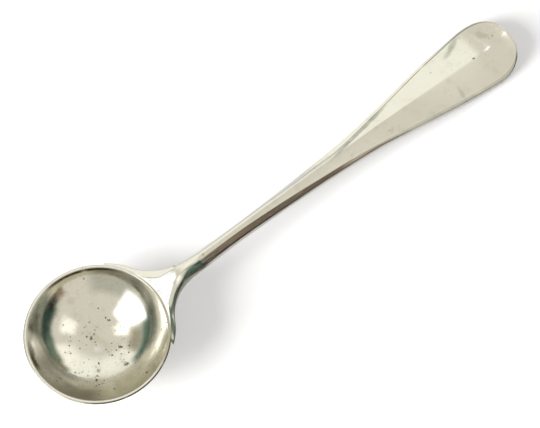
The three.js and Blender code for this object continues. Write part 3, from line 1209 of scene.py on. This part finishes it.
@dataclass
class SolderSeam:
    """Solder that fills the joint between the bowl and the stem, rubbed down flush.

    Args:
        bowl: the bowl on its inner side.
    """

    bowl: Bowl

    def build(self, blank: bpy.types.Object, cast: bpy.types.Object) -> bpy.types.Object:
        """Cuts the seam out of the whole stem.

        Args:
            blank: the stem before the bowl's hollow is cut.
            cast: the tool that cuts the hollow.

        Returns:
            The seam.
        """
        piece = placed("solder_fillet", blank.data.copy())
        cut_with(piece, cast, "INTERSECT")
        core = self.bowl.envelope("core")
        cut_with(piece, core, "DIFFERENCE")
        bpy.data.objects.remove(core)
        return piece


@dataclass(frozen=True)
class Patch:
    """One soft patch of the room that the silver mirrors.

    Args:
        azimuth: of its middle, in degrees from X.
        elevation: of its middle.
        half_width: in degrees of azimuth.
        half_height: in degrees of elevation.
        colour: of its light.
        blur: how soft its edges are.
    """

    azimuth: float
    elevation: float
    half_width: float
    half_height: float
    colour: Colour
    blur: float = 5.0


@dataclass
class Studio:
    """White table, soft light, a plain room for the silver to mirror, and the camera.

    Args:
        eye: the camera's place, in millimetres.
        forward: the way it looks.
        down: the picture's down.
        lens: its focal length on a 36 mm frame.
        lamp_way: which way the lamp lies from the origin.
        lamp_size: its width, in metres.
        lamp_distance: from the origin, in metres.
        lamp_power: in watts.
        plain_light: colour of the light that all but glossy rays find in the room.
        room: colour of the room where no patch lies.
        patches: the room's lighter and darker parts.
        table_colour: how the table looks in the silver.
        table_glow: how much whiter than white paper in this light the camera sees it.
    """

    eye: Point = (-46.257, -86.001, 271.709)
    forward: Point = (0.27659, 0.29214, -0.91551)
    down: Point = (-0.58154, -0.70755, -0.40147)
    lens: float = 120.38
    lamp_way: Point = (-0.893, 0.157, 0.423)
    lamp_size: float = 0.5
    lamp_distance: float = 0.9
    lamp_power: float = 12.3
    plain_light: Colour = (0.35, 0.345, 0.335)
    table_colour: Colour = (0.85, 0.85, 0.85)
    table_glow: float = 0.3
    room: Colour = (0.68, 0.655, 0.56)
    patches: tuple[Patch, ...] = (
        Patch(50.0, 26.0, 60.0, 26.0, (0.94, 0.935, 0.83), 9.0),
        Patch(5.0, 33.0, 18.0, 9.0, (1.06, 1.03, 0.9), 6.0),
        Patch(57.0, 69.0, 15.0, 4.5, (1.2, 1.21, 1.26), 3.0),
        Patch(124.0, 33.0, 16.0, 9.0, (0.37, 0.34, 0.25), 6.0),
        Patch(312.0, 48.0, 15.0, 11.0, (1.15, 1.13, 1.02), 5.0),
        Patch(126.0, 14.5, 30.0, 9.0, (0.1, 0.17, 0.13), 4.5),
        Patch(322.0, 13.0, 25.0, 10.0, (0.075, 0.13, 0.105), 4.5),
        Patch(352.0, 16.0, 18.0, 10.0, (0.13, 0.18, 0.13), 4.5),
        Patch(12.0, 15.0, 11.0, 6.0, (0.17, 0.16, 0.09), 4.0),
        Patch(169.0, 34.0, 21.0, 20.0, (2.2, 2.18, 2.1), 5.0),
        Patch(147.0, 56.0, 14.0, 10.0, (1.7, 1.68, 1.5), 5.0),
        Patch(284.0, 8.0, 9.0, 9.0, (0.28, 0.2, 0.14), 3.5),
        Patch(296.0, 8.0, 8.0, 9.0, (0.055, 0.052, 0.04), 3.5),
        Patch(312.0, 2.0, 24.0, 6.0, (0.035, 0.035, 0.025), 4.0),
        Patch(287.0, 2.0, 12.0, 5.0, (0.03, 0.025, 0.015), 3.0),
    )

    def camera(self) -> None:
        """Sets up the camera."""
        data = bpy.data.cameras.new("camera")
        data.lens = self.lens
        data.sensor_width = 36.0
        data.clip_start = 0.01
        camera = bpy.data.objects.new("camera", data)
        up = -Vector(self.down).normalized()
        back = -Vector(self.forward).normalized()
        right = up.cross(back).normalized()
        turn = Matrix((right, up, back)).transposed().to_4x4()
        camera.matrix_world = Matrix.Translation(Vector(self.eye) * MM) @ turn
        bpy.context.scene.collection.objects.link(camera)
        bpy.context.scene.camera = camera

    def lamp(self) -> None:
        """Sets up the soft lamp that throws the shadow."""
        data = bpy.data.lights.new("soft_lamp", "AREA")
        data.size = self.lamp_size
        data.energy = self.lamp_power
        lamp = bpy.data.objects.new("soft_lamp", data)
        way = Vector(self.lamp_way).normalized()
        turn = way.to_track_quat("Z", "Y").to_matrix().to_4x4()
        lamp.matrix_world = Matrix.Translation(way * self.lamp_distance) @ turn
        lamp.visible_glossy = False
        bpy.context.scene.collection.objects.link(lamp)

    def patch_mask(self, board: NodeBoard, way: tuple[Wire, Wire, Wire], patch: Patch) -> Wire:
        """How much of a patch lies that way, 0 to 1."""
        azimuth = bearing(way[:2], patch.azimuth).size()
        elevation = (way[2].arcsine() * math.degrees(1.0) - patch.elevation).size()
        wide = azimuth.ease(patch.half_width + patch.blur, patch.half_width - patch.blur)
        return wide * elevation.ease(patch.half_height + patch.blur, patch.half_height - patch.blur)

    def world(self) -> None:
        """Sets up the room: white to the camera, patches to silver, plain light to the table."""
        world = bpy.data.worlds.new("room")
        bpy.context.scene.world = world
        board = NodeBoard.emptied(world)
        way = board.parts(board.add("ShaderNodeTexCoord", {}, {}, "Generated"))
        colour: Wire | Colour = self.room
        for patch in self.patches:
            colour = board.mix(self.patch_mask(board, way, patch), colour, patch.colour)
        ray = board.add("ShaderNodeLightPath", {}, {}, "Is Camera Ray")
        colour = board.mix(ray.output("Is Glossy Ray"), self.plain_light, colour)
        light = board.add("ShaderNodeBackground", {}, {"Color": board.mix(ray, colour, WHITE)})
        board.close("ShaderNodeOutputWorld", light)

    def table(self) -> None:
        """Lays the white table just under the spoon, with a glow that only the camera sees."""
        half, drop = 2.0, 0.02 * MM
        mesh = bpy.data.meshes.new("table")
        signs = ((-1, -1), (1, -1), (1, 1), (-1, 1))
        mesh.from_pydata([(half * x, half * y, -drop) for x, y in signs], [], [(0, 1, 2, 3)])
        table = placed("table", mesh)
        paper = bpy.data.materials.new("white_table")
        board = NodeBoard.emptied(paper)
        ray = board.add("ShaderNodeLightPath", {}, {}, "Is Camera Ray")
        plain, white = (
            board.add("ShaderNodeBsdfDiffuse", {}, {"Color": board.full(colour)}, "BSDF")
            for colour in (self.table_colour, WHITE)
        )
        glow = board.add("ShaderNodeEmission", {}, {"Strength": self.table_glow}, "Emission")
        white = board.add("ShaderNodeAddShader", {}, {0: white, 1: glow}, "Shader")
        shown = board.add("ShaderNodeMixShader", {}, {0: ray, 1: plain, 2: white}, "Shader")
        board.close("ShaderNodeOutputMaterial", shown)
        mesh.materials.append(paper)


def main() -> None:
    """Builds the scene in order."""
    logging.basicConfig(level=logging.INFO, format="%(name)s: %(message)s")
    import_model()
    bpy.context.scene.view_settings.view_transform = "Standard"
    studio = Studio()
    studio.camera()
    studio.lamp()
    studio.world()
    studio.table()

    bowl = Bowl.from_frame()
    stem = Stem(bowl)
    bowl_finish = BowlSilver(
        "bowl_silver",
        Draw.BOWL,
        dents=0.7,
        rim_height=bowl.rim_height,
        rim_inside=bowl.inner_radius,
        hollow_sphere=bowl.hollow_sphere,
        hollow_middle=bowl.floor + bowl.hollow_sphere,
    ).material()
    stem_finish = StemSilver(
        "stem_silver", Draw.STEM, tarnish=0.12, pits=0.12, hairlines=0.12, lines=stem.dark_lines_and_reflections()
    ).material()
    seam_finish = WornSilver("seam_silver", Draw.STEM, tarnish=0.12).material()

    turned = bowl.build(bowl_finish)
    forged = stem.build()
    cast = bowl.envelope("cast", stem.seam)
    seam = SolderSeam(bowl).build(forged, cast)
    cut_with(forged, cast, "DIFFERENCE")
    bpy.data.objects.remove(cast)
    for piece in (turned, forged, seam):
        soften(piece)
    dress(turned, bowl_finish, "bowl")
    dress(forged, stem_finish, "stem")
    dress(seam, seam_finish, "solder_seam")


if __name__ == "__main__":
    main()
